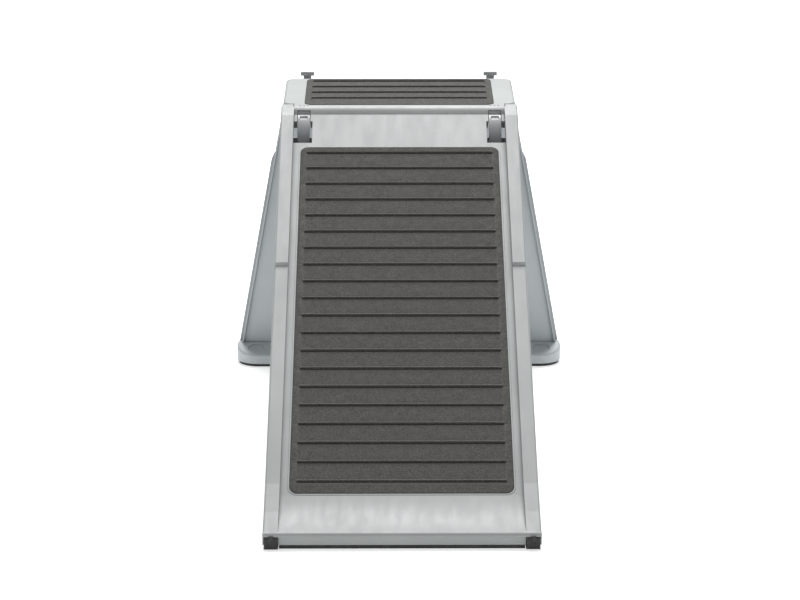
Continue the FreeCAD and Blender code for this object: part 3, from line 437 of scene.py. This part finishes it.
@dataclass
class Finishes:
    """Every finish of the ramp, by the slot that it belongs to."""

    slope: float
    tilt: float
    table: dict[Slot, bpy.types.Material] = field(default_factory=dict)

    def build(self) -> None:
        """Makes one material for each slot."""
        grey = Colour(0.318, 0.336, 0.333)
        plans = {
            Slot.RAMP_PLASTIC: MouldedPlastic("ramp_grey", grey, tilt=self.slope),
            # painted light: the platform takes the ramp's grey lightened 1.18 times, a lit copy of the
            # same plastic standing in for the stronger light on its flat top
            Slot.PLATFORM_PLASTIC: MouldedPlastic("platform_grey", grey.times(1.18), tilt=self.tilt),
            # painted light: the leg takes the panels' grey plastic made lighter and bluer, standing in for
            # the light on its face in the shade under the platform
            Slot.LEG_PLASTIC: MouldedPlastic(
                "leg_grey", Colour(0.43, 0.465, 0.48), tilt=math.pi / 2, smears=0.15),
            Slot.TREAD_MAT: GripMat("tread_mat_rubber", Colour(0.070, 0.068, 0.063)),
            Slot.BLACK_RUBBER: BlackRubber("black_rubber", Colour(0.012, 0.012, 0.013)),
            Slot.ARM: MouldedPlastic(
                "arm_grey", Colour(0.34, 0.355, 0.36), gloss=0.42, tilt=self.slope, smears=0.1),
            Slot.PIN: WorkedSteel("pin_steel", Colour(0.55, 0.56, 0.58), marks=(3.0, 0.4, 0.4)),
            Slot.SCREW: WorkedSteel("screw_zinc", Colour(0.6, 0.61, 0.63), roughness=0.36),
        }
        for slot, plan in plans.items():
            self.table[slot] = plan.material()

    def dress(self, piece: bpy.types.Object, slot: Slot) -> None:
        """Gives a new piece its finish.

        Args:
            piece: The piece.
            slot: The slot whose finish it takes.
        """
        piece.data.materials.clear()
        piece.data.materials.append(self.table[slot])

    def dress_node(self, node: str, slot: Slot) -> None:
        """Gives a CAD node its finish on every material slot it has.

        Args:
            node: The node's name.
            slot: The slot whose finish it takes.
        """
        for place in frame["nodes"][node].material_slots:
            place.material = self.table[slot]


# ---------------------------------------------------------------- shared geometry

@dataclass(frozen=True)
class Seat:
    """A surface's own frame: its origin on the hinge axis, y along the surface and z square to it."""

    origin: Vector
    tilt: float

    def matrix(self) -> Matrix:
        """The frame's place in the row frame."""
        return Matrix.Translation(self.origin) @ Matrix.Rotation(self.tilt, 4, "X")


def joint_origin(name: str) -> Vector:
    """A joint's point on its axis.

    Args:
        name: The joint's name.

    Returns:
        The point in the row frame.
    """
    found = [joint for joint in frame["joints"] if joint["name"] == name][0]
    return Vector(found["pos_m"])


def make_piece(name: str, mesh: bmesh.types.BMesh, matrix: Matrix, body: Body) -> bpy.types.Object:
    """Turns a bmesh into a piece that rides on a body.

    Args:
        name: The piece's name.
        mesh: The mesh, freed afterwards.
        matrix: Its place in the row frame, taken into the mesh.
        body: The body it rides on.

    Returns:
        The new object.
    """
    data = bpy.data.meshes.new(name)
    mesh.transform(matrix)
    bmesh.ops.recalc_face_normals(mesh, faces=mesh.faces)
    mesh.to_mesh(data)
    mesh.free()
    piece = bpy.data.objects.new(name, data)
    bpy.context.scene.collection.objects.link(piece)
    data.shade_smooth()
    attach(piece, body.value)
    return piece


def shade_by_angle(piece: bpy.types.Object, degrees: float) -> None:
    """Marks edges sharper than an angle, and smooths the rest.

    Args:
        piece: The piece.
        degrees: The least angle that stays sharp.
    """
    piece.data.set_sharp_from_angle(angle=math.radians(degrees))


@dataclass(frozen=True)
class Tread:
    """The section of one raised bar: a gentle back, a rounded crest, a steep front and a small groove."""

    height: float = 3.0 * MM
    back: float = 2.3 * MM
    front: float = 1.2 * MM
    groove: float = 2.0 * MM
    groove_depth: float = 2.0 * MM

    def stations(self) -> list[float]:
        """Places along the mat, from the bar's middle towards its uphill side, where the section turns."""
        crest = [share * self.back for share in (1.0, 0.75, 0.5, 0.25, 0.0)]
        steep = [-self.front * share for share in (0.35, 0.7, 1.0)]
        trough = [-(self.front + self.groove * share) for share in (0.15, 0.5, 0.85, 1.0)]
        return crest + steep + trough

    def lift(self, along: float) -> float:
        """Height over the mat at a distance from the bar's middle, positive uphill.

        Args:
            along: The distance in metres.

        Returns:
            The height, negative in the groove.
        """
        if along >= 0.0:
            share = min(1.0, along / self.back)
            return self.height * math.cos(share * math.pi / 2) ** 1.3
        if along >= -self.front:
            share = -along / self.front
            return self.height * (1.0 - share ** 2.2)
        share = min(1.0, (-along - self.front) / self.groove)
        return -self.groove_depth * math.sin(share * math.pi)


@dataclass
class TreadMat:
    """A pebbled mat with round corners, eased edges and raised bars, sunk into its panel."""

    name: str
    node: str
    body: Body
    seat: Seat
    half: float
    start: float
    end: float
    base: float
    first_bar: float
    bars: int
    uphill: float
    pitch: float = 38.25 * MM
    corner: float = 13.0 * MM
    thick: float = 3.0 * MM
    margin: float = 10.0 * MM
    ease: float = 1.0 * MM
    tread: Tread = Tread()

    def half_at(self, along: float) -> float:
        """Half the mat's width at a place along it, less in its round corners.

        Args:
            along: Distance along the seat's y.

        Returns:
            The half width.
        """
        depth = min(along - self.start, self.end - along)
        if depth >= self.corner:
            return self.half
        short = self.corner - max(0.0, depth)
        return self.half - self.corner + math.sqrt(max(0.0, self.corner ** 2 - short ** 2))

    def bar_places(self) -> list[float]:
        """The middle of each bar along the seat's y."""
        return [self.first_bar - self.uphill * i * self.pitch for i in range(self.bars)]

    def rows(self) -> list[float]:
        """Every place along the mat where the surface turns, in order."""
        places = {self.start, self.end}
        for inset in (0.15, 0.4, 0.7, 1.0):
            places.update((self.start + inset * self.ease, self.end - inset * self.ease))
        for step in range(1, 9):
            reach = self.corner * (1 - math.cos(step / 8 * math.pi / 2))
            places.update((self.start + reach, self.end - reach))
        for middle in self.bar_places():
            places.update(middle + self.uphill * spot for spot in self.tread.stations())
        wanted: list[float] = []
        for place in sorted(places):
            if not wanted or place - wanted[-1] > 0.04 * MM:
                wanted.append(place)
        return wanted

    def columns(self) -> list[float]:
        """Shares of the half width where the surface turns, from the left edge to the right."""
        bar_end = self.half - self.margin
        spots = [0.0, 0.25, 0.5, 0.75, 0.9]
        shares = [spot * bar_end / self.half for spot in spots]
        reach = self.tread.back
        shares += [(bar_end - reach * rest) / self.half for rest in (1.0, 0.8, 0.55, 0.3, 0.1, 0.0)]
        shares += [1.0 - inset * self.ease / self.half for inset in (1.0, 0.7, 0.4, 0.15, 0.0)]
        return [-share for share in reversed(shares)] + shares[1:]

    def height(self, across: float, along: float) -> float:
        """Height of the mat's top over its middle plane.

        Args:
            across: Distance along x.
            along: Distance along the seat's y.

        Returns:
            The height over the flat of the mat.
        """
        lift = 0.0
        bar_half = self.half - self.margin
        for middle in self.bar_places():
            offset = (along - middle) * self.uphill
            if -self.tread.front - self.tread.groove <= offset <= self.tread.back:
                past = max(0.0, abs(across) - (bar_half - self.tread.back))
                close = math.sqrt(max(0.0, 1.0 - min(1.0, past / self.tread.back) ** 2))
                lift = self.tread.lift(offset) * close
        rim = min(self.half_at(along) - abs(across), along - self.start, self.end - along)
        if rim < self.ease:
            fall = self.ease - max(0.0, rim)
            lift -= self.ease - math.sqrt(max(0.0, self.ease ** 2 - fall ** 2))
        return lift

    def build(self, finishes: Finishes) -> bpy.types.Object:
        """Builds the mat and dresses it.

        Args:
            finishes: The ramp's finishes.

        Returns:
            The mat.
        """
        mesh = bmesh.new()
        rows, columns = self.rows(), self.columns()
        top_level = self.base + self.thick
        top, low = [], []
        for along in rows:
            half = self.half_at(along)
            top.append([mesh.verts.new((share * half, along, top_level + self.height(share * half, along)))
                        for share in columns])
            low.append([mesh.verts.new((side * half, along, self.base)) for side in (-1.0, 1.0)])
        last = len(columns) - 1
        for i in range(len(rows) - 1):
            for k in range(last):
                mesh.faces.new((top[i][k], top[i][k + 1], top[i + 1][k + 1], top[i + 1][k]))
            mesh.faces.new((low[i][0], top[i][0], top[i + 1][0], low[i + 1][0]))
            mesh.faces.new((low[i][1], low[i + 1][1], top[i + 1][last], top[i][last]))
            mesh.faces.new((low[i][0], low[i + 1][0], low[i + 1][1], low[i][1]))
        mesh.faces.new([low[0][0]] + [low[0][1]] + list(reversed(top[0])))
        mesh.faces.new([low[-1][1]] + [low[-1][0]] + top[-1])
        piece = make_piece(self.name, mesh, self.seat.matrix(), self.body)
        shade_by_angle(piece, 50.0)
        finishes.dress(piece, Slot.TREAD_MAT)
        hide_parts(self.node)
        return piece


@dataclass
class SocketScrew:
    """A domed screw head with a six-sided socket, and a plain shank."""

    head: float = 4.0 * MM
    rise: float = 2.2 * MM
    shank: float = 2.0 * MM
    length: float = 9.0 * MM
    socket: float = 1.5 * MM
    socket_depth: float = 1.2 * MM
    steps: int = 36

    def section(self) -> list[tuple[float, float]]:
        """Radius and height pairs from the shank's end up over the head to the socket's mouth."""
        tip = [(0.6 * self.shank, -self.length), (self.shank, -self.length + 0.8 * MM), (self.shank, 0.0)]
        brim = [(self.head, 0.0), (self.head, 0.45 * self.rise)]
        dome = []
        for step in range(1, 6):
            turn = step / 5 * math.radians(62)
            radius = self.head * math.cos(turn)
            level = self.rise * (0.45 + 0.55 * math.sin(turn) / 0.883)
            dome.append((max(radius, 1.18 * self.socket), level))
        return tip + brim + dome

    def socket_radii(self) -> list[float]:
        """Distance from the axis to the six-sided socket's wall at each step round it."""
        radii = []
        for step in range(self.steps):
            turn = 2 * math.pi * step / self.steps
            side = (turn + math.pi / 6) % (math.pi / 3) - math.pi / 6
            radii.append(self.socket * math.cos(math.pi / 6) / math.cos(side))
        return radii

    def ring(self, mesh: bmesh.types.BMesh, matrix: Matrix, radii: list[float],
             level: float) -> list[bmesh.types.BMVert]:
        """Adds one ring of points round the screw's axis.

        Args:
            mesh: The mesh to add to.
            matrix: The screw's place.
            radii: The distance from the axis at each step.
            level: The ring's height over the head's seat.

        Returns:
            The points in order.
        """
        points = []
        for step, radius in enumerate(radii):
            turn = 2 * math.pi * step / self.steps
            spot = Vector((radius * math.cos(turn), radius * math.sin(turn), level))
            points.append(mesh.verts.new(matrix @ spot))
        return points

    def add(self, mesh: bmesh.types.BMesh, matrix: Matrix) -> None:
        """Adds one screw to a mesh.

        Args:
            mesh: The mesh to add to.
            matrix: The screw's place, its head's seat at the origin and its head towards +z.
        """
        rings = []
        for radius, level in self.section():
            rings.append(self.ring(mesh, matrix, [radius] * self.steps, level))
        for level in (self.rise, self.rise - self.socket_depth):
            rings.append(self.ring(mesh, matrix, self.socket_radii(), level))
        for lower, upper in zip(rings, rings[1:]):
            for step in range(self.steps):
                after = (step + 1) % self.steps
                mesh.faces.new((lower[step], lower[after], upper[after], upper[step]))
        mesh.faces.new(list(reversed(rings[0])))
        mesh.faces.new(rings[-1])


# ---------------------------------------------------------------- sub-assemblies

@dataclass
class RampAssembly:
    """The long ramp: panel, mat, toe feet and strip, and the two front hinge arms."""

    seat: Seat
    finishes: Finishes
    body: Body = Body.RAMP
    screw: SocketScrew = field(default_factory=lambda: SocketScrew(length=7.5 * MM))
    arm_x: float = 161.5 * MM
    arm_screw_places: tuple[float, float] = (-96.0 * MM, -106.0 * MM)
    arm_seat_level: float = -26.02 * MM

    def build_mat(self) -> bpy.types.Object:
        """Builds the ramp's mat."""
        mat = TreadMat(
            name="ramp_tread_mat", node="ramp_mat", body=self.body, seat=self.seat,
            half=164.5 * MM, start=-861.0 * MM, end=-97.0 * MM, base=8.0 * MM,
            first_bar=-110.5 * MM, bars=20, uphill=1.0)
        return mat.build(self.finishes)

    def build_screws(self) -> bpy.types.Object:
        """Builds the four screws that hold the arms' tails from below."""
        mesh = bmesh.new()
        facing = Matrix.Rotation(math.pi, 4, "X")
        for side in (-1, 1):
            for along in self.arm_screw_places:
                place = Vector((self.arm_x * side, along, self.arm_seat_level))
                self.screw.add(mesh, Matrix.Translation(place) @ facing)
        piece = make_piece("front_arm_socket_screws", mesh, self.seat.matrix(), self.body)
        shade_by_angle(piece, 40.0)
        self.finishes.dress(piece, Slot.SCREW)
        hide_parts("front_arm_screws")
        return piece

    def dress(self) -> None:
        """Dresses the CAD nodes that stay."""
        self.finishes.dress_node("ramp_panel", Slot.RAMP_PLASTIC)
        for node in ("ramp_foot_left", "ramp_foot_right", "ramp_toe_strip"):
            self.finishes.dress_node(node, Slot.BLACK_RUBBER)
        for node in ("front_arm_left", "front_arm_right"):
            self.finishes.dress_node(node, Slot.ARM)
        self.finishes.dress_node("ramp_foot_screws", Slot.SCREW)

    def build(self) -> list[bpy.types.Object]:
        """Builds and dresses the whole sub-assembly."""
        self.dress()
        return [self.build_mat(), self.build_screws()]


@dataclass
class PlatformAssembly:
    """The short platform: panel, mat and the hinge pins with their clips."""

    seat: Seat
    finishes: Finishes
    body: Body = Body.PLATFORM

    def build_mat(self) -> bpy.types.Object:
        """Builds the platform's mat."""
        mat = TreadMat(
            name="platform_tread_mat", node="platform_mat", body=self.body, seat=self.seat,
            half=161.0 * MM, start=8.5 * MM, end=184.5 * MM, base=12.0 * MM,
            first_bar=48.9 * MM, bars=4, uphill=-1.0)
        return mat.build(self.finishes)

    def dress(self) -> None:
        """Dresses the CAD nodes that stay."""
        self.finishes.dress_node("platform_panel", Slot.PLATFORM_PLASTIC)
        for place in ("front", "rear"):
            self.finishes.dress_node(place + "_pin_clips", Slot.PIN)
            for side in ("left", "right"):
                self.finishes.dress_node("%s_pin_%s" % (place, side), Slot.PIN)

    def build(self) -> list[bpy.types.Object]:
        """Builds and dresses the whole sub-assembly."""
        self.dress()
        return [self.build_mat()]


@dataclass
class LegAssembly:
    """The flared leg: panel, rubber sole and the two rear hinge arms."""

    seat: Seat
    finishes: Finishes
    body: Body = Body.LEG
    screw: SocketScrew = field(default_factory=SocketScrew)
    arm_x: float = 161.5 * MM
    screw_drops: tuple[float, float] = (-40.0 * MM, -60.0 * MM)
    arm_back: float = 10.5 * MM

    def build_screws(self) -> bpy.types.Object:
        """Builds the four screws that hold the rear arms to the leg."""
        mesh = bmesh.new()
        facing = Matrix.Rotation(-math.pi / 2, 4, "X")
        for side in (-1, 1):
            for drop in self.screw_drops:
                place = Vector((self.arm_x * side, self.arm_back, drop))
                self.screw.add(mesh, Matrix.Translation(place) @ facing)
        piece = make_piece("rear_arm_socket_screws", mesh, self.seat.matrix(), self.body)
        shade_by_angle(piece, 40.0)
        self.finishes.dress(piece, Slot.SCREW)
        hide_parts("rear_arm_screws")
        return piece

    def dress(self) -> None:
        """Dresses the CAD nodes that stay."""
        self.finishes.dress_node("leg_panel", Slot.LEG_PLASTIC)
        self.finishes.dress_node("leg_sole", Slot.BLACK_RUBBER)
        for node in ("rear_arm_left", "rear_arm_right"):
            self.finishes.dress_node(node, Slot.ARM)

    def build(self) -> list[bpy.types.Object]:
        """Builds and dresses the whole sub-assembly."""
        self.dress()
        return [self.build_screws()]


# ---------------------------------------------------------------- studio

@dataclass
class Studio:
    """A wide pale floor, soft light from above and behind, and the camera."""

    floor_width: float = 60.0
    floor_depth: float = 60.0
    sky: float = 0.5
    glow: float = 0.45
    key_watts: float = 720.0
    front_watts: float = 2.0
    lens: float = 117.0
    eye: Vector = field(default_factory=lambda: Vector((-0.0206, -4.0399, 1.2625)))
    pitch: float = 0.249
    yaw: float = -0.005

    def build_floor(self) -> None:
        """Lays the floor."""
        mesh = bmesh.new()
        bmesh.ops.create_grid(mesh, x_segments=2, y_segments=2, size=0.5)
        bmesh.ops.scale(mesh, vec=(self.floor_width, self.floor_depth, 1.0), verts=mesh.verts)
        data = bpy.data.meshes.new("studio_floor")
        mesh.to_mesh(data)
        mesh.free()
        floor = bpy.data.objects.new("studio_floor", data)
        floor.location.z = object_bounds()[0][2] - 0.2 * MM
        bpy.context.scene.collection.objects.link(floor)
        paper = bpy.data.materials.new("studio_paper")
        paper.use_nodes = True
        shader = paper.node_tree.nodes["Principled BSDF"]
        shader.inputs["Base Color"].default_value = (0.93, 0.93, 0.93, 1.0)
        shader.inputs["Roughness"].default_value = 0.8
        shader.inputs["Specular IOR Level"].default_value = 0.2
        shader.inputs["Emission Color"].default_value = (1.0, 1.0, 1.0, 1.0)
        shader.inputs["Emission Strength"].default_value = self.glow
        data.materials.append(paper)
        floor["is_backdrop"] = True

    def add_light(self, name: str, place: Vector, target: Vector, size: float, watts: float) -> None:
        """Adds one square area light.

        Args:
            name: The light's name.
            place: Where it stands.
            target: The point it faces.
            size: Its side in metres.
            watts: Its power.
        """
        light = bpy.data.lights.new(name, "AREA")
        light.size = size
        light.energy = watts
        holder = bpy.data.objects.new(name, light)
        holder.location = place
        holder.rotation_euler = (target - place).to_track_quat("-Z", "Y").to_euler()
        bpy.context.scene.collection.objects.link(holder)

    def build_light(self) -> None:
        """Lights the scene."""
        world = bpy.data.worlds.new("studio_sky")
        world.use_nodes = True
        back = world.node_tree.nodes["Background"]
        back.inputs["Color"].default_value = (1.0, 1.0, 1.0, 1.0)
        back.inputs["Strength"].default_value = self.sky
        bpy.context.scene.world = world
        middle = Vector((0.0, 0.0, 0.25))
        self.add_light("key_overhead", Vector((0.2, 4.2, 6.8)), middle, 3.6, self.key_watts)
        self.add_light("front_fill", Vector((-1.2, -4.5, 2.6)), middle, 2.5, self.front_watts)

    def build_camera(self) -> None:
        """Stands the camera in front of the toe."""
        data = bpy.data.cameras.new("camera")
        data.lens = self.lens
        camera = bpy.data.objects.new("camera", data)
        camera.location = self.eye
        camera.rotation_euler = (math.pi / 2 - self.pitch, 0.0, self.yaw)
        bpy.context.scene.collection.objects.link(camera)
        bpy.context.scene.camera = camera

    def build(self) -> None:
        """Builds the whole studio."""
        bpy.context.scene.view_settings.view_transform = "Standard"
        self.build_floor()
        self.build_light()
        self.build_camera()


def main() -> None:
    """Builds the ramp's looks, then the studio."""
    logging.basicConfig(level=logging.INFO, format="%(name)s: %(message)s")
    slope, tilt = math.radians(SLOPE_DEGREES), math.radians(TILT_DEGREES)
    finishes = Finishes(slope, tilt)
    finishes.build()
    hinge = joint_origin("ramp_fold")
    leg_axis = joint_origin("leg_fold")
    assemblies = (
        RampAssembly(Seat(hinge, slope), finishes),
        PlatformAssembly(Seat(hinge, tilt), finishes),
        LegAssembly(Seat(leg_axis, 0.0), finishes),
    )
    for assembly in assemblies:
        for piece in assembly.build():
            LOG.info("%s: %s, %d faces", type(assembly).__name__, piece.name, len(piece.data.polygons))
    Studio().build()


if __name__ == "__main__":
    main()
